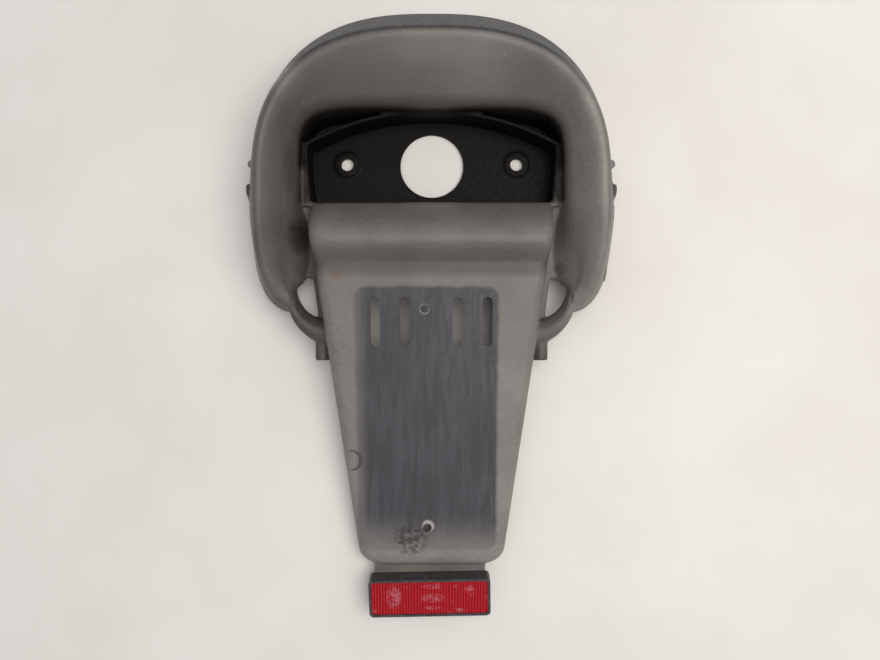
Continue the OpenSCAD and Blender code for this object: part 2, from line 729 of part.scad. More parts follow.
body();
reflector_housing();
reflector_lens();
reflector_stud();
reflector_washer();
reflector_nut();
clip_nut_left();
clip_nut_right();
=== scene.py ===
# %% [markdown]
# # A weathered rear plate holder
#
# The object is one grey plastic moulding from the tail of a motorbike: a hood with a seat for the
# tail lamp, a tongue that carries the plate, two arms, and a red reflector below. It has lain in the
# sun for years, so what the plate and the lamp covered is still dark and the rest has bleached.
#
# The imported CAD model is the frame. It gives the place and size of every piece, and each piece made
# here is laid over its CAD node.

import bpy
import math
import numpy as np
from mathutils import Matrix, Vector


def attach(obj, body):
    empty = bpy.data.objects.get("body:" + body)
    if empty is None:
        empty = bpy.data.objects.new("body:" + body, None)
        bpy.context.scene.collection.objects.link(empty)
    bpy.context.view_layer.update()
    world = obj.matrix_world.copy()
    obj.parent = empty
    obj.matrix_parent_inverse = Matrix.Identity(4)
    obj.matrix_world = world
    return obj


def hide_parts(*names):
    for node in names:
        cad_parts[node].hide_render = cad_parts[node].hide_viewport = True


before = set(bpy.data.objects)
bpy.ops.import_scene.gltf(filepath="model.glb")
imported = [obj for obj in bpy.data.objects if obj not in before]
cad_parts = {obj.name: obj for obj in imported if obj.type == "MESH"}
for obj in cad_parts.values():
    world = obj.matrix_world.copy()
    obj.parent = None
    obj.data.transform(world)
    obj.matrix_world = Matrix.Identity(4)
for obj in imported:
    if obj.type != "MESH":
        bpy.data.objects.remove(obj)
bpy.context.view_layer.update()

# %% [markdown]
# ## Helpers
#
# A mesh could be drawn by hand, vertex by vertex, or by Blender's own tools. Here the moulding has
# measures, so a few functions turn points into meshes. Lengths are in millimetres up to the moment a
# mesh is made, because the drawing is in millimetres.

# %% Objects and their meshes
MM = 0.001


def make(name, points, faces):
    mesh = bpy.data.meshes.new(name)
    mesh.from_pydata([tuple(float(c) * MM for c in p) for p in points], [], faces)
    obj = bpy.data.objects.new(name, mesh)
    bpy.context.scene.collection.objects.link(obj)
    return obj


def applied(obj):
    """Bakes the modifiers into the mesh."""
    graph = bpy.context.evaluated_depsgraph_get()
    mesh = bpy.data.meshes.new_from_object(obj.evaluated_get(graph))
    obj.modifiers.clear()
    obj.data = mesh
    return obj


def joined(name, objs):
    bpy.ops.object.select_all(action="DESELECT")
    for o in objs:
        o.select_set(True)
    bpy.context.view_layer.objects.active = objs[0]
    bpy.ops.object.join()
    objs[0].name = objs[0].data.name = name
    return objs[0]


def placed(obj, matrix):
    obj.data.transform(matrix)
    return obj


def move(x, y, z=0):
    return Matrix.Translation(Vector((x, y, z)) * MM)


# %% [markdown]
# ## Two ways to make a closed solid
#
# A moulding's curved skin is a grid of points with a wall under it, and a flat rib is an outline drawn
# up between two heights. Both are closed, so that they can be fused and cut later. A plain plane with
# a Solidify modifier would do for the skin too, but it leaves less say over the edges.

# %% A sheet under a grid of points
def mix(a, b, t):
    return a + (b - a) * t


def ease(t):
    """Goes from 0 to 1 with a soft start and a soft end."""
    return (1 - math.cos(math.pi * min(1.0, max(0.0, t)))) / 2


def grid_solid(name, grid, thickness):
    """A sheet of even thickness under a grid of points, closed along its edges."""
    g = np.array(grid, float)
    along = np.gradient(g, axis=0)
    across = np.gradient(g, axis=1)
    normal = np.cross(along, across)
    normal /= np.linalg.norm(normal, axis=2, keepdims=True) + 1e-12
    n, m = g.shape[:2]
    points = np.vstack([g.reshape(-1, 3), (g - thickness * normal).reshape(-1, 3)])
    faces, low = [], n * m
    for i in range(n - 1):
        for j in range(m - 1):
            a, b, c, d = i * m + j, i * m + j + 1, (i + 1) * m + j + 1, (i + 1) * m + j
            faces += [(a, b, c, d), (d + low, c + low, b + low, a + low)]
    rim = [i * m for i in range(n)]
    rim += [(n - 1) * m + j for j in range(1, m)]
    rim += [i * m + m - 1 for i in range(n - 2, -1, -1)]
    rim += [j for j in range(m - 2, 0, -1)]
    for a, b in zip(rim, rim[1:] + rim[:1]):
        faces.append((a, b, b + low, a + low))
    return make(name, points, faces)


print("a quarter of the way is eased to", round(ease(0.25), 3))

# %% Outlines drawn up
def prism(name, outline, low, high):
    """An outline in the ground plane drawn up between two heights."""
    n = len(outline)
    points = [(x, y, low) for x, y in outline] + [(x, y, high) for x, y in outline]
    sides = [(i, (i + 1) % n, (i + 1) % n + n, i + n) for i in range(n)]
    return make(name, points, [tuple(reversed(range(n))), tuple(range(n, 2 * n))] + sides)


def ring(name, outer, inner, low, high):
    """The band between two outlines with as many points each."""
    n = len(outer)
    points = [(x, y, z) for z in (low, high) for line in (outer, inner) for x, y in line]
    faces = []
    for i in range(n):
        k = (i + 1) % n
        faces += [
            (i, n + i, n + k, k),
            (2 * n + i, 2 * n + k, 3 * n + k, 3 * n + i),
            (i, k, 2 * n + k, 2 * n + i),
            (n + i, 3 * n + i, 3 * n + k, n + k),
        ]
    return make(name, points, faces)


def drum(name, r, low, high, steps=96):
    turns = [2 * math.pi * k / steps for k in range(steps)]
    return prism(name, [(r * math.cos(a), r * math.sin(a)) for a in turns], low, high)


def slab(name, x0, x1, y0, y1, z0, z1):
    return prism(name, [(x0, y0), (x1, y0), (x1, y1), (x0, y1)], z0, z1)


print("ways to draw up:", prism.__name__, ring.__name__, drum.__name__, slab.__name__)

# %% [markdown]
# ## The hood, the arms and the struts
#
# On the real part this is one injection-moulded shell. Its wall runs up from the rim to a ridge, over
# a slightly crowned front face, and rolls down into the lamp's recess. The same section travels over
# the arch, down both arms and on along the two struts that tie them to the tongue. It could be modelled
# with a subdivision surface, but here it is lofted, because then its measures can be read and changed:
# four guide lines give the section's corners at each station, and the corners are then rounded.

# %% Measures of the hood
WALL = 3
HOOD_W, HOOD_TOP, HOOD_H = 282, 120, 63
RIDGE_W, RIDGE_TOP = 249, 82
MOUTH_W, MOUTH_TOP, MOUTH_H = 205, 38.5, 44
ARCH_DROP, HOOD_SQUARE, MOUTH_SQUARE = 30, 2.65, 6
RIDGE_ROUND, MOUTH_ROUND = 5, 8
RIM_FLARE, FLARE_END, FLARE_START = 2, 3.5, 5.5
SEAT_H, WEB_H = 28, 25
PAST = 1
WEB_LOW = WEB_H - WALL
ARM_INNER = MOUTH_W / 2 - WALL / 2
print("hood", HOOD_W, "mm wide and", HOOD_H, "mm high, mouth", MOUTH_W, "mm wide")

# %% Measures of the arms, the struts and the windows
ARM_DROP, ARM_END_H, ARM_SQUARE = 84.5, 36, 2.15
ARM_BULGE, ARM_TUCK, ARM_SPREAD = 2, 4, 8
# How far above the rim's end the ridge, the mouth and the foot end
ARM_RIDGE_IN, ARM_MOUTH_IN, ARM_FOOT_IN = 5, 15, 20
# How much faster than the ridge the rim, the mouth and the foot reach their last height
RIM_PACE, MOUTH_PACE, FOOT_PACE = 1.2, 1.6, 6
STRUT_X, STRUT_DROP, STRUT_R, STRUT_H, STRUT_END = 74, 109, 33.5, 30, -88
WINDOW_MID, WINDOW_R, WINDOW_SIDE_X, WINDOW_TOP, WINDOW_LEDGE = 97.5, 24, 102.5, 90.5, 6
RIDGE_START, MOUTH_START, FOOT_START = -1, -5, 7
STRUT_IN = STRUT_R - WALL
STRUT_START = math.degrees(math.asin((STRUT_DROP - ARCH_DROP - ARM_DROP) / STRUT_IN))
ARM_END_X = STRUT_X + STRUT_IN * math.cos(math.radians(STRUT_START))
WINDOW_X = WINDOW_SIDE_X - WINDOW_R
FOOT_R, MOUTH_R = WINDOW_R + WALL, WINDOW_R + 1.5 * WALL
FOOT_END_X = WINDOW_X + FOOT_R * math.cos(math.radians(FOOT_START))
MOUTH_END_X = WINDOW_X + MOUTH_R * math.cos(math.radians(MOUTH_START))
print("struts start at", round(STRUT_START, 1), "degrees, arms end at x", round(ARM_END_X, 1))

# %% Points on the arch, on an arm and on a strut
def arch_point(half, top, square, turn, z):
    c, s = math.cos(turn), math.sin(turn)
    x = half * math.copysign(abs(c) ** (2 / square), c)
    y = -ARCH_DROP + (top + ARCH_DROP) * math.copysign(abs(s) ** (2 / square), s)
    return np.array([x, y, z])


def arm_point(start, end, drop, turn, z, bow=0.0):
    c, s = abs(math.cos(turn)), abs(math.sin(turn))
    x = end + (start - end) * c ** (2 / ARM_SQUARE) + bow * math.sin(2 * turn)
    return np.array([x, -ARCH_DROP - drop * s ** (2 / ARM_SQUARE), z])


def strut_point(x, drop, r, degrees, z):
    a = math.radians(degrees)
    return np.array([x + r * math.cos(a), -drop + r * math.sin(a), z])


def flare(u):
    """How far the rim leans out, most at the foot of the arch."""
    return RIM_FLARE * (1 - ease((1 - u) * FLARE_END if u < 1 else (u - 1) * FLARE_START))


print("top of the rim", arch_point(HOOD_W / 2, HOOD_TOP, HOOD_SQUARE, math.pi / 2, 0).round(1))

# %% Guide lines
ARCH_SPACING = 1.5


def strut_guides(t):
    """The four corners along a strut, from its arm at 0 to the tongue at 1."""
    ridge_r = mix(STRUT_IN, STRUT_IN - WALL, t)
    ridge_z = mix(ARM_END_H, STRUT_H, ease(t))
    mouth_z = mix(ARM_END_H - WALL, STRUT_H - WALL / 2, ease(t))
    return (
        strut_point(STRUT_X, STRUT_DROP, STRUT_IN, mix(STRUT_START, STRUT_END, t), WEB_LOW),
        strut_point(STRUT_X, STRUT_DROP, ridge_r, mix(RIDGE_START, STRUT_END, t), ridge_z),
        strut_point(WINDOW_X, WINDOW_MID, MOUTH_R, mix(MOUTH_START, STRUT_END, t), mouth_z),
        strut_point(WINDOW_X, WINDOW_MID, FOOT_R, mix(FOOT_START, STRUT_END, t), WEB_LOW),
    )


def arm_guides(t, rim_half):
    """The four corners along an arm, from the foot of the arch at 0 to its end at 1."""
    turn = math.pi / 2 * t
    rim_z = mix(-PAST, WEB_LOW, ease(t * RIM_PACE))
    ridge_z = mix(HOOD_H, ARM_END_H, ease(t))
    mouth_z = mix(MOUTH_H, ARM_END_H - WALL, ease(t * MOUTH_PACE))
    foot_z = mix(-PAST, WEB_LOW, ease(t * FOOT_PACE))
    return (
        arm_point(rim_half, ARM_END_X, ARM_DROP, turn, rim_z),
        arm_point(RIDGE_W / 2, ARM_END_X, ARM_DROP - ARM_RIDGE_IN, turn, ridge_z, ARM_BULGE),
        arm_point(MOUTH_W / 2, MOUTH_END_X, ARM_DROP - ARM_MOUTH_IN, turn, mouth_z, ARM_TUCK),
        arm_point(ARM_INNER, FOOT_END_X, ARM_DROP - ARM_FOOT_IN, turn, foot_z, -ARM_SPREAD),
    )


def guides(u):
    """Rim, ridge, mouth and foot at a station: -1 strut end, 0 arm end, 1 foot of the arch, 2 top."""
    if u < 0:
        return strut_guides(-u)
    rim_half = HOOD_W / 2 + flare(u)
    if u < 1:
        return arm_guides(1 - u, rim_half)
    turn = math.pi / 2 * (u - 1) ** ARCH_SPACING
    return (
        arch_point(rim_half, HOOD_TOP, HOOD_SQUARE, turn, -PAST),
        arch_point(RIDGE_W / 2, RIDGE_TOP, HOOD_SQUARE, turn, HOOD_H),
        arch_point(MOUTH_W / 2, MOUTH_TOP, MOUTH_SQUARE, turn, MOUTH_H),
        arch_point(ARM_INNER, MOUTH_TOP, MOUTH_SQUARE, turn, -PAST),
    )


for station, where in ((-1, "strut end"), (0, "arm end"), (1, "foot of the arch"), (2, "top")):
    print(where, [p.round(1).tolist() for p in guides(station)])

# %% One section of the hood
SIDE_STEPS, RIDGE_STEPS, MOUTH_STEPS = 9, 7, 8
CROWN = 1


def line(a, b, steps):
    return [mix(a, b, k / steps) for k in range(steps)]


def corner(a, b, c, r, steps):
    """A round corner at b, r millimetres long on each side."""
    p = b + (a - b) / np.linalg.norm(a - b) * r
    q = b + (c - b) / np.linalg.norm(c - b) * r
    ways = [k / steps for k in range(steps + 1)]
    return [p * (1 - t) ** 2 + b * 2 * t * (1 - t) + q * t * t for t in ways]


def hood_section(u):
    rim, ridge, mouth, foot = guides(u)
    front = np.linalg.norm(mouth - ridge) / 3
    soft = min(MOUTH_ROUND, np.linalg.norm(mouth - foot) / 3, front)
    tight = min(RIDGE_ROUND, front, np.linalg.norm(rim - ridge) / 3)
    over = corner(rim, ridge, mouth, tight, RIDGE_STEPS)
    into = corner(ridge, mouth, foot, soft, MOUTH_STEPS)
    ways = [k / SIDE_STEPS for k in range(1, SIDE_STEPS)]
    face = line(over[-1], into[0], SIDE_STEPS)[1:]
    crowned = [p + np.array([0, 0, 4 * CROWN * t * (1 - t)]) for p, t in zip(face, ways)]
    outer = line(rim, over[0], SIDE_STEPS)
    inner = line(into[-1], foot, SIDE_STEPS)[1:]
    return outer + over + crowned + into + inner + [foot]


print("points in a section", len(hood_section(2)))

# %% Loft the hood
STRUT_STATIONS, ARM_STATIONS, ARCH_STATIONS = 30, 60, 120
stations = [k / STRUT_STATIONS - 1 for k in range(STRUT_STATIONS)]
stations += [k / ARM_STATIONS for k in range(ARM_STATIONS)]
stations += [1 + k / ARCH_STATIONS for k in range(ARCH_STATIONS)]
right = [hood_section(u) for u in stations]
left = [[p * np.array([-1, 1, 1]) for p in section] for section in right]
hood = grid_solid("hood", left + [hood_section(2)] + right[::-1], WALL)
print("hood sections", 2 * len(stations) + 1, "points each", len(right[0]))

# %% [markdown]
# ## The tongue
#
# The tongue carries the plate. From the seat it rises to a rounded crest, dips into a valley, and runs
# out flat and slightly narrower towards the reflector. It is a shell too, open below. A box with
# bevelled edges would miss the crest, so it is lofted from cross-sections: side wall, rounded
# shoulder, flat top.

# %% Heights along the tongue
SEAT_W, SEAT_DROP, SEAT_RISE, SEAT_SHOULDER = 194, 33, 37.5, 12
TONGUE_TOP_W, TONGUE_END_W, TONGUE_DROP = 184, 110, 311
CREST_DROP, CREST_H, VALLEY_DROP, VALLEY_H = 65, 62, 82, 50
PANEL_DROP, PANEL_TOP_H, PANEL_END_H = 94, 52, 20
SKIRT_TOP_H, SKIRT_DEPTH = 17, 15


def panel_height(y):
    return mix(PANEL_TOP_H, PANEL_END_H, (-y - PANEL_DROP) / (TONGUE_DROP - PANEL_DROP))


def tongue_height(y):
    d = -y
    if d < CREST_DROP:
        rise = min(1, max(0, (d - SEAT_DROP) / (CREST_DROP - SEAT_DROP)))
        return mix(SEAT_H, CREST_H, math.sin(math.pi / 2 * rise))
    if d < VALLEY_DROP:
        return mix(CREST_H, VALLEY_H, ease((d - CREST_DROP) / (VALLEY_DROP - CREST_DROP)))
    if d < PANEL_DROP:
        return mix(VALLEY_H, PANEL_TOP_H, ease((d - VALLEY_DROP) / (PANEL_DROP - VALLEY_DROP)))
    return panel_height(y)


def tongue_half(y):
    return mix(TONGUE_TOP_W, TONGUE_END_W, (-y - SEAT_DROP) / (TONGUE_DROP - SEAT_DROP)) / 2


def skirt_height(y):
    return min(SKIRT_TOP_H, panel_height(y) - SKIRT_DEPTH)


print("heights at crest, valley and end", [tongue_height(-d) for d in (CREST_DROP, VALLEY_DROP, TONGUE_DROP)])

# %% Loft the tongue
TONGUE_ROUND, TONGUE_CORNER = 9, 12
CORNER_DROP = TONGUE_CORNER / 3
TONGUE_ROWS, CORNER_ROWS = 60, 14
SKIRT_STEPS, ROUND_STEPS, FLAT_STEPS = 8, 9, 24


def tongue_section(y, half, top, low):
    r = TONGUE_ROUND
    turns = [math.pi / 2 * k / ROUND_STEPS for k in range(ROUND_STEPS + 1)]
    side = [(half, mix(low, top - r, k / SKIRT_STEPS)) for k in range(SKIRT_STEPS)]
    side += [(half - r * (1 - math.cos(a)), top - r * (1 - math.sin(a))) for a in turns]
    side += [((half - r) * (1 - k / FLAT_STEPS), top) for k in range(1, FLAT_STEPS + 1)]
    points = [(-x, y, z) for x, z in side[:-1]] + [(x, y, z) for x, z in reversed(side)]
    return [np.array(p, float) for p in points]


corner_y = -TONGUE_DROP + TONGUE_CORNER
rows = [mix(-SEAT_DROP, -PANEL_DROP, k / TONGUE_ROWS) for k in range(TONGUE_ROWS)]
rows += [mix(-PANEL_DROP, corner_y, k / TONGUE_ROWS) for k in range(TONGUE_ROWS + 1)]
tongue_grid = [tongue_section(y, tongue_half(y), tongue_height(y), skirt_height(y)) for y in rows]
for k in range(1, CORNER_ROWS + 1):
    a = math.pi / 2 * k / CORNER_ROWS
    y, back = corner_y - TONGUE_CORNER * math.sin(a), 1 - math.cos(a)
    half, top = tongue_half(y) - TONGUE_CORNER * back, panel_height(y) - CORNER_DROP * back
    tongue_grid.append(tongue_section(y, half, top, skirt_height(y)))
tongue = grid_solid("tongue", tongue_grid, WALL)
print("tongue rows", len(tongue_grid))

# %% Close the tongue's lower end
END_IN, END_UNDER = 0.2, 1
end_half = TONGUE_END_W / 2 - TONGUE_CORNER
end_low, end_high = PANEL_END_H - SKIRT_DEPTH, PANEL_END_H - CORNER_DROP - END_UNDER
end_wall = slab("end_wall", -end_half, end_half, END_IN - TONGUE_DROP, WALL - TONGUE_DROP, end_low, end_high)
print("end wall", 2 * end_half, "mm wide")

# %% [markdown]
# ## The lamp's seat and the webs
#
# The lamp sits in a D-shaped pocket with a low wall of its own, between two fins. The flat webs close
# the space between arm and tongue down to the crescent windows. These ribs could be modelled with
# their fillets, but drawn-up outlines are enough, because the soft inner corners come from the remesh
# that follows.

# %% Outline of the seat
ARC_STEPS = 60
seat_half = SEAT_W / 2
arc_rise = SEAT_RISE - SEAT_SHOULDER
seat_r = (seat_half**2 + arc_rise**2) / (2 * arc_rise)


def seat_outline(inset):
    half, low = seat_half - inset, -SEAT_DROP + inset - WALL
    xs = [mix(half, -half, k / ARC_STEPS) for k in range(ARC_STEPS + 1)]
    arc = [(x, SEAT_RISE - seat_r + math.sqrt((seat_r - inset) ** 2 - x * x)) for x in xs]
    return arc + [(-half, low), (half, low)]


print("radius of the seat's arc", round(seat_r, 1))

# %% Floor, seat wall and ledge
FLOOR_STEPS = 80
floor_half, floor_top, floor_low = ARM_INNER - WALL / 2, MOUTH_TOP - WALL, -SEAT_DROP - WALL / 2
turns = [math.pi * k / FLOOR_STEPS for k in range(FLOOR_STEPS + 1)]
floor_line = [tuple(arch_point(floor_half, floor_top, MOUTH_SQUARE, a, 0)[:2]) for a in turns]
floor_line += [(-floor_half, floor_low), (floor_half, floor_low)]
solids = [hood, tongue, end_wall]
solids.append(prism("floor", floor_line, 0, WALL))
solids.append(ring("seat_wall", seat_outline(0), seat_outline(WALL), 0, SEAT_H))
solids.append(slab("ledge", -ARM_INNER, ARM_INNER, -SEAT_DROP - WALL, -SEAT_DROP, 0, WEB_H))
print("floor", 2 * floor_half, "mm wide, ledge", WEB_H, "mm high")

# %% Fins, webs and collars
FOOT_STATIONS = 40
LAMP_SCREW_X, LAMP_SCREW_Y, COLLAR_R, COLLAR_H = 67, 1, 9.5, 1.6
web_end = WINDOW_MID + WINDOW_R + WALL
feet = [guides(k / FOOT_STATIONS)[3] for k in range(FOOT_STATIONS + 1)]


def mirrored(name, outline, side, low, high):
    """Draws up the right-hand outline or its mirror image, turned so that its faces look out."""
    points = [(side * x, y) for x, y in outline]
    return prism(name, points if side < 0 else points[::-1], low, high)


fin = [(seat_half, 0), (seat_half - WALL, 0), (seat_half - 2 * WALL, -SEAT_DROP), (ARM_INNER, -SEAT_DROP)]
web = [(tongue_half(-SEAT_DROP) - WALL / 2, -SEAT_DROP), (tongue_half(-web_end) - WALL / 2, -web_end)]
web += [(tongue_half(-web_end) + WINDOW_LEDGE, -web_end)]
web += [(tongue_half(-WINDOW_TOP) + WINDOW_LEDGE, -WINDOW_TOP), (WINDOW_SIDE_X + WALL / 2, -WINDOW_TOP)]
web += [(p[0] + WALL / 2, p[1]) for p in feet if p[1] > -WINDOW_TOP]
for side in (-1, 1):
    solids.append(mirrored("fin", fin, side, 0, SEAT_H))
    solids.append(mirrored("web", web, side, WEB_LOW, WEB_H))
    collar = drum("collar", COLLAR_R, 0, WALL + COLLAR_H)
    solids.append(placed(collar, move(side * LAMP_SCREW_X, LAMP_SCREW_Y)))
print("solids so far", len(solids))

# %% [markdown]
# ## Lugs, ears, sockets and the reflector's tab
#
# Small moulded features: a leaning lug for a clip nut with an ear above and below it, a socket lug at
# the foot of each strut, the stub of a tab that broke off the right rim, and the flat tab that the
# reflector is bolted to. A matrix for each place does the leaning, so every shape is drawn upright.

# %% Side lugs and their ears
LUG_DROP, LUG_W, LUG_H, LUG_T, LUG_LEAN, LUG_OUT = 14, 15, 18, 2.6, 17, 0.9
LUG_X = mix(HOOD_W, RIDGE_W, (LUG_H + PAST) / (HOOD_H + PAST)) / 2 + LUG_OUT
NOTCH_W, NOTCH_H, CLIP_W, CLIP_IN = 32, 32, 11, 2
EAR_ROOT, EAR_GAP, EAR_LOW, EAR_HIGH = 6, 6.6, 14.1, 33.8
# Each ear's reach beyond the lug, its width, and whether it is above or below the lug
EARS = ((1.2, 4.8, 1), (2.3, 12.8, -1))
lug_above = (NOTCH_H - LUG_H) / math.cos(math.radians(LUG_LEAN)) + WALL


def at_lug(side):
    lean = Matrix.Rotation(math.radians(90 - LUG_LEAN), 4, "Y")
    return Matrix.Diagonal((side, 1, 1, 1)) @ move(LUG_X, -LUG_DROP, LUG_H) @ lean


def ear_outline(out, width, way):
    far = EAR_GAP + width
    half = [(-EAR_ROOT, EAR_GAP), (out, EAR_GAP), (out, EAR_GAP + width / 2), (0, far), (-EAR_ROOT, far)]
    return [(x, way * y) for x, y in half[::way]]


print("lugs at x", round(LUG_X, 1), "and", round(lug_above, 1), "mm long above the clip nut")

# %% Put the lugs, ears and sockets in place
SOCKET_D, SOCKET_L, SOCKET_BORE, SOCKET_DROP = 11, 16, 5.5, 153
SOCKET_X = tongue_half(-SOCKET_DROP + SOCKET_L / 2) + SOCKET_D / 2 + PAST / 2
SOCKET_MID = WEB_LOW + WALL / 2
along_y = Matrix.Rotation(math.radians(-90), 4, "X")
for side in (-1, 1):
    lug = slab("lug", -lug_above, CLIP_W - CLIP_IN, -LUG_W / 2, LUG_W / 2, -LUG_T, 0)
    solids.append(placed(lug, at_lug(side)))
    for ear in EARS:
        outline = [(side * (LUG_X + x), y - LUG_DROP) for x, y in ear_outline(*ear)]
        solids.append(prism("ear", outline, EAR_LOW, EAR_HIGH))
    socket = drum("socket", SOCKET_D / 2, 0, SOCKET_L)
    solids.append(placed(socket, move(side * SOCKET_X, -SOCKET_DROP, SOCKET_MID) @ along_y))
    span = sorted((side * (SOCKET_X - SOCKET_D / 2 - WALL), side * SOCKET_X))
    solids.append(slab("bridge", *span, -SOCKET_DROP, -SOCKET_DROP + SOCKET_L, WEB_LOW, WEB_H))
print("sockets at x", round(SOCKET_X, 1))

# %% The broken tab's stub and the reflector's tab
STUB_W, STUB_L, STUB_LOW, STUB_LEAN, STUB_IN, STUB_DROP = 4, 11, 11, 10, 6, 92
REFLECTOR_X, REFLECTOR_DROP, FACE_H, REFLECTOR_DEPTH = -1.5, 335, 23.5, 12.5
TIP, TURN = math.radians(10), math.radians(1.2)
TAB_W, TAB_T, TAB_BELOW = 86, 3, 11
stub = slab("stub", 0, STUB_W, 0, STUB_L, STUB_LOW, STUB_LOW + WALL)
turned_in = Matrix.Rotation(math.radians(-STUB_LEAN), 4, "Z")
solids.append(placed(stub, move(LUG_X - STUB_IN, -STUB_DROP) @ turned_in))
leaned = move(REFLECTOR_X, -REFLECTOR_DROP, FACE_H) @ Matrix.Rotation(TIP, 4, "X")
at_reflector = leaned @ Matrix.Rotation(TURN, 4, "Z")
reach = (REFLECTOR_DROP - TONGUE_DROP + WALL / 2) / math.cos(TIP)
tab = slab("tab", -TAB_W / 2, TAB_W / 2, -TAB_BELOW, reach, -REFLECTOR_DEPTH - TAB_T, -REFLECTOR_DEPTH)
solids.append(placed(tab, leaned))
print("solids to fuse", len(solids))

# %% [markdown]
# ## One moulding
#
# A mould gives every inner corner a small radius. Bevels could do that edge by edge, but fusing the
# solids by a voxel remesh and relaxing the result a little does it everywhere at once, and it leaves
# one closed skin. The bores and slots are cut afterwards, so that their edges stay as crisp as a core
# pin leaves them. The notches are cut into the hood before the fusing.

# %% Cutting and remeshing
def cut(obj, cutters):
    tool = joined("cutters", cutters)
    mod = obj.modifiers.new("cut", "BOOLEAN")
    mod.operation, mod.solver, mod.object, mod.use_self = "DIFFERENCE", "EXACT", tool, True
    applied(obj)
    bpy.data.objects.remove(tool)
    return obj


def voxel_skin(obj):
    remesh = obj.modifiers.new("remesh", "REMESH")
    remesh.mode, remesh.voxel_size, remesh.adaptivity = "VOXEL", 0.9 * MM, 0.0
    return applied(obj)


def notch(side):
    across = sorted((side * (LUG_X - 3 * WALL), side * (LUG_X + 3 * WALL)))
    return slab("notch", *across, -LUG_DROP - NOTCH_W / 2, -LUG_DROP + NOTCH_W / 2, -5, NOTCH_H)


# The fine grid folds a little in its tightest corners, and an exact cut needs a skin without folds
voxel_skin(hood)
cut(hood, [notch(-1), notch(1)])
print("hood faces", len(hood.data.polygons))

# %% Fuse, relax and thin out
MOST_FACES = 75000
body = voxel_skin(joined("plate_holder_body", solids))
relax = body.modifiers.new("relax", "SMOOTH")
relax.factor, relax.iterations = 0.5, 9
applied(body)
faces_before = len(body.data.polygons)
thin = body.modifiers.new("thin", "DECIMATE")
thin.ratio = min(1.0, MOST_FACES / faces_before)
applied(body)
print("remeshed faces", faces_before, "kept", len(body.data.polygons))

# %% Cutters for the floor, the slots and the plate's holes
LAMP_BORE_R, LAMP_SCREW_R = 25, 5
SLOT_W, SLOT_L, SLOT_DROP, SLOT_STEPS = 7.2, 36, 124, 24
SLOT_XS = (-41, -19.2, 19.2, 41)
# Place and radius of the drilled hole and of the torn one
PLATE_HOLES = ((-4.8, 114.5, 3), (-3.4, 281, 3.5))
PANEL_LOW, HOLE_LOW, PANEL_HIGH = 28, 14, 70
core, deep = 4 * HOOD_W, 50
cutters = [slab("under", -core, core, -core, core, -deep, 0)]
cutters.append(drum("lamp_bore", LAMP_BORE_R, -2, WALL + 5))
for side in (-1, 1):
    screw = drum("lamp_screw", LAMP_SCREW_R, -2, 4 * WALL)
    cutters.append(placed(screw, move(side * LAMP_SCREW_X, LAMP_SCREW_Y)))
slot_r, slot_end = SLOT_W / 2, (SLOT_L - SLOT_W) / 2
turns = [math.pi * k / SLOT_STEPS for k in range(SLOT_STEPS + 1)]
for x in SLOT_XS:
    outline = [(x + slot_r * math.cos(a), -SLOT_DROP + slot_end + slot_r * math.sin(a)) for a in turns]
    outline += [(x - slot_r * math.cos(a), -SLOT_DROP - slot_end - slot_r * math.sin(a)) for a in turns]
    cutters.append(prism("slot", outline, PANEL_LOW, PANEL_HIGH))
for x, drop, r in PLATE_HOLES:
    cutters.append(placed(drum("plate_hole", r, HOLE_LOW, PANEL_HIGH), move(x, -drop)))
print("cutters for floor and panel", len(cutters))

# %% Cutters for the sockets, lugs and gasket, and for the broken rim
CLIP_HOLE_R, STUD_HOLE_R, GASKET_W, GASKET_DEPTH = 2.75, 2.75, 3.6, 1.2
# How far the broken edge stands out at each step down the rim
TEETH = [0.2, 1.0, 1.5, 0.9, 0.5, 1.3, 2.0, 1.2, 0.5, 1.0, 1.0]
BREAK_DROP, BREAK_STEP, BREAK_LEAN, BREAK_OUT, BREAK_HIGH = 71, 1.1, 0.33, 12, 14
for side in (-1, 1):
    bore = drum("socket_bore", SOCKET_BORE / 2, 0, SOCKET_L - WALL + PAST)
    cutters.append(placed(bore, move(side * SOCKET_X, -SOCKET_DROP - PAST, SOCKET_MID) @ along_y))
    cutters.append(placed(drum("clip_hole", CLIP_HOLE_R, -LUG_T - PAST, PAST), at_lug(side)))
stud_hole = drum("stud_hole", STUD_HOLE_R, -REFLECTOR_DEPTH - TAB_T - PAST, -REFLECTOR_DEPTH + PAST)
cutters.append(placed(stud_hole, at_reflector))
groove_in, groove_out = seat_outline(WALL + GASKET_W), seat_outline(WALL)
cutters.append(ring("gasket", groove_out, groove_in, WALL - GASKET_DEPTH, WALL + 2))
jagged = [(LUG_X + tooth - BREAK_LEAN * k, -BREAK_DROP - BREAK_STEP * k) for k, tooth in enumerate(TEETH)]
break_end = BREAK_DROP + BREAK_STEP * (len(TEETH) - 1)
jagged += [(LUG_X + BREAK_OUT, -break_end), (LUG_X + BREAK_OUT, -BREAK_DROP)]
cutters.append(prism("rim_break", jagged, -2, BREAK_HIGH))
cut(body, cutters)
print("body faces", len(body.data.polygons))

# %% [markdown]
# ## Materials
#
# A photograph could be wrapped round the part, but it would bring its light and its camera along.
# Here every finish is a few nodes of noise and ramps. Colours are read as they look in daylight and
# turned to linear light. Every pattern takes its scale from real millimetres through the object's own
# coordinates, so it stays put when the piece moves: a noise scale is 1 over the size of its features.

# %% Colour and node helpers
SOFT = {"interpolation_type": "SMOOTHSTEP"}
TIMES = {"operation": "MULTIPLY"}
LESS = {"operation": "SUBTRACT"}
BLEND = {"data_type": "RGBA"}
# The usual share of fine detail in a noise
FINE_SHARE = 0.55


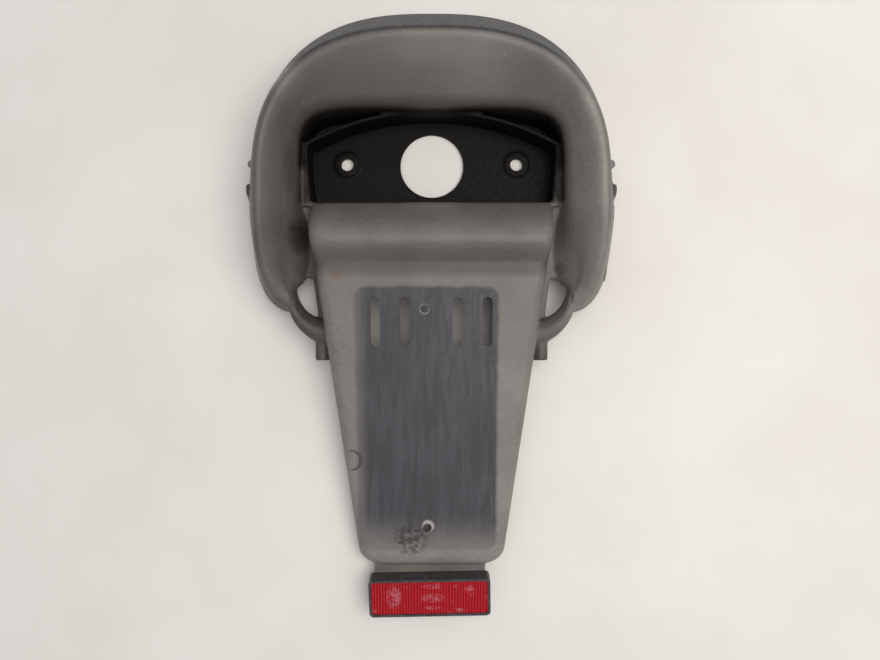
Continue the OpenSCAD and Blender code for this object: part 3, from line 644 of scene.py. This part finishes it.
def linear(code):
    channels = [int(code[k : k + 2], 16) / 255 for k in (1, 3, 5)]
    return [c / 12.92 if c <= 0.04045 else ((c + 0.055) / 1.055) ** 2.4 for c in channels] + [1]


def plug(tree, socket, value):
    """Links an input to another node's output, or sets it to a number, a vector or a colour."""
    if isinstance(value, bpy.types.NodeSocket):
        tree.links.new(value, socket)
    else:
        socket.default_value = value


def node(tree, kind, *values, out=None, named=(), **settings):
    """Adds a node and gives back its first open output, or the one that out names.

    values go to the open inputs in their order, named to the inputs of those names, and settings are
    the node's own.
    """
    made = tree.nodes.new("ShaderNode" + kind)
    for key, value in settings.items():
        setattr(made, key, value)
    for socket, value in zip([s for s in made.inputs if s.enabled], values):
        plug(tree, socket, value)
    for key, value in dict(named).items():
        plug(tree, made.inputs[key], value)
    return made.outputs[out] if out else next(s for s in made.outputs if s.enabled)


def material(name):
    """A new material, its tree, and the place on the object in millimetres."""
    mat = bpy.data.materials.new(name)
    mat.use_nodes = True
    on_object = node(mat.node_tree, "TexCoord", out="Object")
    return mat, mat.node_tree, node(mat.node_tree, "VectorMath", on_object, (1000, 1000, 1000), **TIMES)


def dress(tree, looks):
    """Gives the shader's inputs their values or links, by name."""
    for key, value in looks.items():
        plug(tree, tree.nodes["Principled BSDF"].inputs[key], value)


print("middle grey in linear light", [round(c, 3) for c in linear("#808080")])

# %% [markdown]
# ### Where the moulding bleached
#
# Black polypropylene fades to a dry brownish grey where the sun reaches it. The plate kept a clean
# charcoal rectangle on the tongue, the lamp kept its pocket black, and the steep outer band of the
# hood faded less. Painted shade is laid in with these zones: a deeper black in the pocket, a dip in
# the tongue's valley, and dark spots in a crevice, at the windows and at the ends of sockets and ears.
# The pale line along the ridge is partly a painted highlight. Such zones could be painted on the mesh
# by hand. Here they follow the part's own lines, so they are measured on the mesh and stored on its
# points.

# %% Soft masks on points
def smooth(x, low, high):
    t = np.clip((x - low) / (high - low), 0, 1)
    return t * t * (3 - 2 * t)


def spot(x, y, centre, size):
    """1 at the middle of a soft round spot, 0 beyond its size."""
    far = np.hypot((x - centre[0]) / size[0], (y - centre[1]) / size[1])
    return 1 - smooth(far, 0.35, 1.0)


def outline_value(x, y, half, top, square):
    """1 on one of the hood's arches, less inside it and more outside."""
    up = np.clip((y + ARCH_DROP) / (top + ARCH_DROP), 0, None)
    return (np.abs(x / half) ** square + up**square) ** (1 / square)


co = np.zeros(len(body.data.vertices) * 3, np.float32)
body.data.vertices.foreach_get("co", co)
bx, by, bz = (co.reshape(-1, 3).astype(float) / MM).T
ridge = outline_value(bx, by, RIDGE_W / 2, RIDGE_TOP, HOOD_SQUARE)
outside = (ridge - 1) * RIDGE_W / 2
mouth = outline_value(bx, by, MOUTH_W / 2, MOUTH_TOP, MOUTH_SQUARE)
on_tongue = (1 - smooth(np.abs(bx) - tongue_half(by), -1, 3)) * (1 - smooth(by, -37, -33))
print("points beyond the ridge", int((outside > 0).sum()), "on the tongue", int((on_tongue > 0.5).sum()))

# %% How far each point bleached, with painted shade and a painted highlight laid in
# Across the hood, from left to right: darker on the left side, paler on the right
HOOD_TONES = ((-142, -100, -40, 40, 80, 110, 142), (0.38, 0.3, 0.36, 0.52, 0.5, 0.84, 0.88))
# Down the tongue, from the ledge over the crest and the valley to the end; the dip at the valley is painted
# shade
TONGUE_TONES = ((33, 45, 62, 70, 82, 92, 140, 309, 313), (0.66, 0.68, 0.74, 0.64, 0.36, 0.74, 0.92, 1.0, 0.7))
# Soft spots laid over the tone: middle, size and depth, paler where the depth is below 0; some are painted
# shade, as each row says
SHADE_DIRT_AND_TONE_SPOTS = (
    # Painted shade in the crevice beside the tongue's left side, with dirt in it, and at the upper edge of
    # both windows
    ((-99, -62), (8, 16), 0.75), ((-97, -84), (9, 10), 0.4), ((97, -84), (7, 7), 0.4),
    # Painted shade at the lower ends of the sockets, and painted shade over unfaded plastic on the right
    # lower ear
    ((-92, -150), (9, 7), 0.75), ((84, -149), (10, 10), 0.5), ((136, -24), (6, 9), 0.7),
    # Darker struts, the left one more
    ((-92, -127), (18, 14), 0.4), ((92, -127), (18, 14), 0.15),
    # A paler patch low on the left arm, a paler left outer band, a darker right outer band
    ((-112, -88), (22, 34), -0.6), ((-104, 62), (16, 34), -0.5), ((106, 58), (14, 30), 0.25),
    # A paler top of the front face
    ((0, 72), (90, 16), -0.25),
    # Painted shade over unfaded plastic on the left lower ear, unfaded plastic at the broken stub, a darker
    # strip beside the mouth's left edge
    ((-137, -24), (6, 9), 0.7), ((134, -87), (5, 7), 0.6), ((-104, -12), (5, 26), 0.5),
)
# The ridge's edge is paler over this width: partly rubbed, partly a painted highlight along the ridge
RIDGE_WEAR_AND_HIGHLIGHT_IN, RIDGE_WEAR_AND_HIGHLIGHT_W, RIDGE_WEAR_AND_HIGHLIGHT = 2.5, 2.6, 0.6
tone = np.interp(bx, HOOD_TONES[0], HOOD_TONES[1])
# Paler along the ridge: wear and a painted highlight
tone *= 1 + RIDGE_WEAR_AND_HIGHLIGHT * np.exp(-((outside + RIDGE_WEAR_AND_HIGHLIGHT_IN) / RIDGE_WEAR_AND_HIGHLIGHT_W) ** 2) * smooth(by, -60, -20)
side_band = smooth(outside, 0, 3) * (1 - smooth(by, 52, 72)) * smooth(by, -120, -70)
tone = mix(tone, 1.0, side_band)
tone = mix(tone, np.interp(-by, TONGUE_TONES[0], TONGUE_TONES[1]), on_tongue)
for centre, size, depth in SHADE_DIRT_AND_TONE_SPOTS:
    tone *= 1 - depth * spot(bx, by, centre, size)
print("tone", round(float(tone.min()), 2), round(float(tone.max()), 2))

# %% The unfaded band, the black pocket with painted shade, and all three stored
FIN_SIZE = (5, 17)
band = smooth(outside, -0.5, 2.5) * mix(0.2, 1.0, smooth(by, 50, 70)) * smooth(by, -90, -40)
# The lamp's pocket, which goes near black: unfaded plastic, with painted shade deep in the recess
recess = smooth(1.03 - mouth, 0, 0.03) * smooth(by, -36, -31) * smooth(-bz, -44, -30)
# The left fin is let out of the pocket's black more than the right one, which stays dark as painted shade
recess *= 1 - 0.75 * spot(bx, by, (-98, -20), FIN_SIZE) - 0.25 * spot(bx, by, (98, -20), FIN_SIZE)
for name, values in (("tone", tone), ("band", band), ("recess", recess)):
    layer = body.data.attributes.new(name, "FLOAT", "POINT")
    layer.data.foreach_set("value", np.asarray(values, np.float32))
print("banded", round(float(band.mean()), 3), "in the pocket", round(float(recess.mean()), 3))

# %% [markdown]
# ### Sun-bleached polypropylene
#
# The moulding is black polypropylene from a fine-grained mould. Its surface is dull and slightly
# waxy, with an index of 1.49 and a roughness of about half. Fading is layered over it from broad to
# fine: cloudy grey, a brown cast where the stored tone is low, painted shade included, the unfaded
# band, the plate's clean shadow.

# %% Noise that the layers share
WOBBLE = 3.0
plastic, tree, place = material("weathered_polypropylene")
wobble = node(tree, "TexNoise", place, 1 / 14, 3, out="Color")
shift = node(tree, "VectorMath", wobble, (0.5, 0.5, 0.5), **LESS)
jitter = node(tree, "VectorMath", shift, WOBBLE, operation="SCALE")
moved = node(tree, "VectorMath", place, jitter, operation="ADD")
broad = node(tree, "TexNoise", place, 1 / 45, 3, FINE_SHARE)
fine = node(tree, "TexNoise", place, 1 / 3.5, 5, FINE_SHARE)
stretch = node(tree, "VectorMath", place, (1, 0.1, 0.3), **TIMES)
streaks = node(tree, "TexNoise", stretch, 1 / 5, 5, 0.6, 2.0, 1.0)
tone_at = node(tree, "Attribute", out="Fac", attribute_name="tone")
band_at = node(tree, "Attribute", out="Fac", attribute_name="band")
recess_at = node(tree, "Attribute", out="Fac", attribute_name="recess")
print("shared nodes", len(tree.nodes))

# %% Faded plastic
cloudy = node(tree, "MapRange", broad, 0.3, 0.7, **SOFT)
faded = node(tree, "Mix", cloudy, linear("#6f6a65"), linear("#7d7873"), **BLEND)
mottled = node(tree, "Math", node(tree, "MapRange", fine, 0.35, 0.75, **SOFT), 0.25, **TIMES)
faded = node(tree, "Mix", mottled, faded, linear("#958e86"), **BLEND)
toned = node(tree, "VectorMath", faded, tone_at, operation="SCALE")
browned = node(tree, "Math", node(tree, "Math", 1.0, tone_at, **LESS), 0.3, **TIMES)
toned = node(tree, "Mix", browned, toned, linear("#55483b"), **BLEND)
streaked = node(tree, "MapRange", streaks, 0.35, 0.7, **SOFT)
banded = node(tree, "Mix", streaked, linear("#1b1e23"), linear("#303338"), **BLEND)
colour = node(tree, "Mix", node(tree, "Math", band_at, 0.9, **TIMES), toned, banded, **BLEND)
print("nodes with the fading", len(tree.nodes))

# %% The plate's shadow, a rounded rectangle with soft left and lower sides
PLATE_MID, PLATE_HALF, PLATE_ROUND, PLATE_SOFT = (-3.5, -198.5), (52.5, 100), 7, 3.5
flat = node(tree, "VectorMath", moved, (1, 1, 0), **TIMES)
from_mid = node(tree, "VectorMath", flat, (*PLATE_MID, 0), **LESS)
size = node(tree, "VectorMath", from_mid, operation="ABSOLUTE")
straight = (PLATE_HALF[0] - PLATE_ROUND, PLATE_HALF[1] - PLATE_ROUND, 0)
over = node(tree, "VectorMath", size, straight, **LESS)
beyond = node(tree, "VectorMath", over, (0, 0, 0), operation="MAXIMUM")
far = node(tree, "VectorMath", beyond, operation="LENGTH")
edge_low, edge_high = PLATE_ROUND - PLATE_SOFT / 2, PLATE_ROUND + PLATE_SOFT / 2
plate = node(tree, "MapRange", far, edge_low, edge_high, 1.0, 0.0, **SOFT)
soft_left = node(tree, "MapRange", node(tree, "SeparateXYZ", moved, out="X"), -57, -46, 0.45, 1.0, **SOFT)
soft_low = node(tree, "MapRange", node(tree, "SeparateXYZ", moved, out="Y"), -303, -268, 0.25, 1.0, **SOFT)
plate = node(tree, "Math", node(tree, "Math", plate, soft_left, **TIMES), soft_low, **TIMES)
worn_through = node(tree, "MapRange", broad, 0.25, 0.75, 0.3, 1.0, **SOFT)
patchy = node(tree, "Math", node(tree, "MapRange", streaks, 0.25, 0.8, **SOFT), worn_through, **TIMES)
clean = node(tree, "Mix", patchy, linear("#302f33"), linear("#4d4a4f"), **BLEND)
colour = node(tree, "Mix", plate, colour, clean, **BLEND)
print("plate's shadow", 2 * PLATE_HALF[0], "x", 2 * PLATE_HALF[1], "mm")

# %% [markdown]
# ### Damage and dirt
#
# The real part carries scuffs at its lower end, pale stressed plastic round the torn and the drilled
# hole, a round mark at its edge, a rusty spot, dirt in a corner and fine scratches. They are too shallow
# to model, so each one is a mask in the ground plane with a colour laid over by it. The scratches are
# noise that is stretched along a slant, drawn a little coarser than real so that they show.

# %% Masks of the damage
def round_mask(centre, low, high, space):
    """1 nearer than low millimetres to a point of the ground plane, 0 beyond high."""
    level = node(tree, "VectorMath", space, (1, 1, 0), **TIMES)
    away = node(tree, "VectorMath", level, (*centre, 0), operation="DISTANCE")
    return node(tree, "MapRange", away, low, high, 1.0, 0.0, **SOFT)


def broken_up(mask, size, rough, low, high):
    """The mask where noise of that size in millimetres is high."""
    rubbed = node(tree, "TexNoise", place, 1 / size, 6, rough)
    return node(tree, "Math", mask, node(tree, "MapRange", rubbed, low, high, **SOFT), **TIMES)


scuffs = broken_up(round_mask((-16, -290), 7, 17, moved), 4, 0.7, 0.42, 0.54)
torn = round_mask((-2.8, -279.4), 4.0, 5.4, moved)
drilled = round_mask((-4.8, -114.5), 3.2, 4.4, moved)
mark_out, mark_in = round_mask((-59.6, -228), 7.4, 8.6, place), round_mask((-61.8, -228), 6.8, 7.8, place)
mark = node(tree, "Math", mark_out, mark_in, **LESS)
rusty = round_mask((-69, -89.4), 1, 5, moved)
dirt = broken_up(round_mask((-97, -57), 4, 12, moved), 5, 0.65, 0.45, 0.6)
slanted = node(tree, "Mapping", named={"Vector": place, "Rotation": (0, 0, 0.6), "Scale": (1, 0.12, 1)})
scratches = node(tree, "MapRange", node(tree, "TexNoise", slanted, 1 / 1.6, 5, 0.6), 0.7, 0.76, **SOFT)
print("nodes with the damage", len(tree.nodes))

# %% Lay the damage over and finish the plastic
for mask, strength, tint in (
    (scuffs, 0.85, "#26221f"),
    (torn, 0.75, "#aaa69c"),
    (drilled, 0.35, "#a19f9a"),
    (mark, 0.8, "#37312c"),
    (rusty, 0.45, "#6e4434"),
    (dirt, 0.7, "#2b221a"),
    (scratches, 0.4, "#b4aea6"),
):
    amount = node(tree, "Math", mask, strength, **TIMES)
    colour = node(tree, "Mix", amount, colour, linear(tint), **BLEND)
grain = node(tree, "TexNoise", place, 1 / 0.9, 3, FINE_SHARE)
dress(tree, {
    # Near black in the pocket, with a low specular level: unfaded plastic darkened further as painted shade
    "Base Color": node(tree, "Mix", recess_at, colour, linear("#120f0c"), **BLEND),
    "Specular IOR Level": node(tree, "MapRange", recess_at, 0.0, 1.0, 0.5, 0.1, **SOFT),
    "Roughness": node(tree, "MapRange", fine, 0.3, 0.7, 0.48, 0.62, **SOFT),
    "IOR": 1.49,
    "Normal": node(tree, "Bump", named={"Height": grain, "Strength": 0.12, "Distance": 0.0004}),
})
body.data.materials.clear()
body.data.materials.append(plastic)
print("plastic nodes", len(tree.nodes))

# %% Place the body
SHARP_FROM = math.radians(32)
body.data.shade_smooth()
body.data.set_sharp_from_angle(angle=SHARP_FROM)
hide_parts("body")
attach(body, "root")
print("body rides on the root")

# %% [markdown]
# ### Black polypropylene
#
# The reflector's housing is moulded from the same kind of plastic, but it is still near black, satin,
# with small dusty specks. One noise drives both its colour and its roughness, because dust is paler
# and duller at once.

# %% The housing's plastic
black, tree, place = material("black_polypropylene")
speck = node(tree, "TexNoise", place, 1 / 2.5, 5, FINE_SHARE)
dusty = node(tree, "MapRange", speck, 0.35, 0.75, **SOFT)
dress(tree, {
    "Base Color": node(tree, "Mix", dusty, linear("#2b2a2b"), linear("#454344"), **BLEND),
    "Roughness": node(tree, "MapRange", speck, 0.3, 0.7, 0.38, 0.6, **SOFT),
    "IOR": 1.49,
})
print(black.name, len(tree.nodes), "nodes")

# %% [markdown]
# ### Red acrylic
#
# The lens is moulded acrylic, index 1.49, with rows of small prisms on its back that give it fine
# upright lines. Modelled prisms would be too fine to see, so a wave stands for them, a few lines
# drawn as one so that they show. Its face has frosted patches where it was rubbed.

# %% The lens's lines and frosted patches
# A wave repeats every pi / 10 millimetres at a scale of 1
PRISM_ROW, WAVE_LENGTH = 2.2, math.pi / 10
# Middle and half size of each patch
WORN_SPOTS = (((-29, -334), (6, 10)), ((1, -335), (9, 4)), ((0, -325.8), (7, 1.8)), ((1, -343), (6.5, 1.8)),
              ((28.6, -327), (4.5, 2.6)), ((21.7, -345), (3.5, 1.8)))
red, tree, place = material("red_acrylic")
level = node(tree, "VectorMath", place, (1, 1, 0), **TIMES)
bands = {"wave_type": "BANDS", "bands_direction": "X"}
prisms = node(tree, "TexWave", place, WAVE_LENGTH / PRISM_ROW, 0.0, out="Fac", **bands)
flecks = node(tree, "MapRange", node(tree, "TexNoise", place, 1 / 3, 6, 0.7), 0.4, 0.62, **SOFT)
hazy = node(tree, "MapRange", node(tree, "TexNoise", place, 1 / 9, 5, FINE_SHARE), 0.58, 0.74, **SOFT)
worn = node(tree, "Math", hazy, 0.5, **TIMES)
for centre, size in WORN_SPOTS:
    off = node(tree, "VectorMath", level, (*centre, 0), **LESS)
    scaled = node(tree, "VectorMath", off, (*size, 1), operation="DIVIDE")
    far = node(tree, "VectorMath", scaled, operation="LENGTH")
    patch = node(tree, "Math", node(tree, "MapRange", far, 0.6, 1.15, 1.0, 0.0, **SOFT), flecks, **TIMES)
    worn = node(tree, "Math", worn, patch, operation="MAXIMUM")
print("frosted patches", len(WORN_SPOTS))

# %% The lens's colour
deep_red = node(tree, "Mix", prisms, linear("#700a11"), linear("#b81823"), **BLEND)
frosted = node(tree, "Math", worn, 0.6, **TIMES)
dress(tree, {
    "Base Color": node(tree, "Mix", frosted, deep_red, linear("#b0707c"), **BLEND),
    "Roughness": node(tree, "Math", 0.25, node(tree, "Math", worn, 0.4, **TIMES), operation="ADD"),
    "IOR": 1.49,
    "Specular IOR Level": 0.2,
    "Normal": node(tree, "Bump", named={"Height": prisms, "Strength": 0.3, "Distance": 0.0005}),
})
print(red.name, len(tree.nodes), "nodes")

# %% [markdown]
# ### Dull zinc plating
#
# Stud, washer and nut are steel with a thin zinc coat, a metal with a blotchy grey shine. Zinc is not
# far from a neutral mirror that has gone matt, so its noise runs between two greys and from half
# polished to matt.

# %% Zinc-plated steel
zinc, tree, place = material("zinc_plated_steel")
dull = node(tree, "TexNoise", place, 1 / 1.6, 5, FINE_SHARE)
blotchy = node(tree, "MapRange", dull, 0.3, 0.7, **SOFT)
dress(tree, {
    "Base Color": node(tree, "Mix", blotchy, linear("#7d8084"), linear("#a5a8ab"), **BLEND),
    "Roughness": node(tree, "MapRange", dull, 0.3, 0.7, 0.3, 0.55, **SOFT),
    "Metallic": 1.0,
})
print(zinc.name, len(tree.nodes), "nodes")

# %% [markdown]
# ### Rusted spring steel
#
# The clip nuts are folded from spring steel, and rust has come through their plating. Rust is an
# oxide and hardly metallic, rough and flaky, so the same noise gives its two browns, its roughness
# and a small relief.

# %% Rust
rust, tree, place = material("rusted_spring_steel")
flake = node(tree, "TexNoise", place, 1 / 1.2, 6, 0.65)
flaked = node(tree, "MapRange", flake, 0.35, 0.7, **SOFT)
dress(tree, {
    "Base Color": node(tree, "Mix", flaked, linear("#4a2416"), linear("#8c5a3a"), **BLEND),
    "Roughness": node(tree, "MapRange", flake, 0.3, 0.7, 0.6, 0.9, **SOFT),
    "Metallic": 0.2,
    "Normal": node(tree, "Bump", named={"Height": flake, "Strength": 0.5, "Distance": 0.0006}),
})
print(rust.name, len(tree.nodes), "nodes")

# %% Give the carried-over pieces their finish
finish = {"reflector_housing": black, "reflector_lens": red, "reflector_stud": zinc,
          "reflector_washer": zinc, "reflector_nut": zinc, "clip_nut_left": rust, "clip_nut_right": rust}
for name, mat in finish.items():
    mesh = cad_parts[name].data
    mesh.materials.clear()
    mesh.materials.append(mat)
print("finished CAD nodes", len(finish))

# %% [markdown]
# ## Table, light and camera
#
# The holder lies on a white table under soft daylight that comes from the upper right, and is seen
# from straight above. A photographed sky could light it, but one wide lamp gives the same soft shadow
# and a pale world fills it, and both can be read and changed.

# %% Table
TABLE_SIZE, TABLE_Y = 4, -0.13
bpy.ops.mesh.primitive_plane_add(size=TABLE_SIZE, location=(0, TABLE_Y, 0))
table = bpy.context.object
table.name = "table"
white, tree, place = material("white_table")
cloudy = node(tree, "MapRange", node(tree, "TexNoise", place, 1 / 160, 4, FINE_SHARE), 0.3, 0.7, **SOFT)
dress(tree, {
    "Base Color": node(tree, "Mix", cloudy, linear("#d9d4ce"), linear("#e0dcd6"), **BLEND),
    "Roughness": 0.7,
})
table.data.materials.append(white)
print("table", TABLE_SIZE, "m wide")

# %% Light
LAMP_AT, LAMP_AIM = Vector((0.46, -0.05, 1.4)), Vector((0, -0.12, 0))
lamp = bpy.data.lights.new("window", "AREA")
lamp.energy, lamp.shape, lamp.size = 15.5, "DISK", 1.2
lamp.color = linear("#fffdf8")[:3]
window = bpy.data.objects.new("window", lamp)
window.location = LAMP_AT
window.rotation_euler = (LAMP_AIM - LAMP_AT).to_track_quat("-Z", "Y").to_euler()
bpy.context.scene.collection.objects.link(window)
world = bpy.data.worlds.new("daylight")
bpy.context.scene.world = world
world.use_nodes = True
sky = world.node_tree.nodes["Background"].inputs
sky["Color"].default_value = linear("#fbfaff")
sky["Strength"].default_value = 0.56
print("lamp", round((LAMP_AIM - LAMP_AT).length, 2), "m from the holder")

# %% Camera
FOCAL_PX, FRAME_PX, SENSOR = 680, 880, 36
camera = bpy.data.cameras.new("camera")
camera.lens, camera.sensor_width = FOCAL_PX / FRAME_PX * SENSOR, SENSOR
eye = bpy.data.objects.new("camera", camera)
eye.location = (0.0064, -0.130, 0.543)
bpy.context.scene.collection.objects.link(eye)
bpy.context.scene.camera = eye
bpy.context.scene.view_settings.view_transform = "Standard"
print("lens", round(camera.lens, 1), "mm")
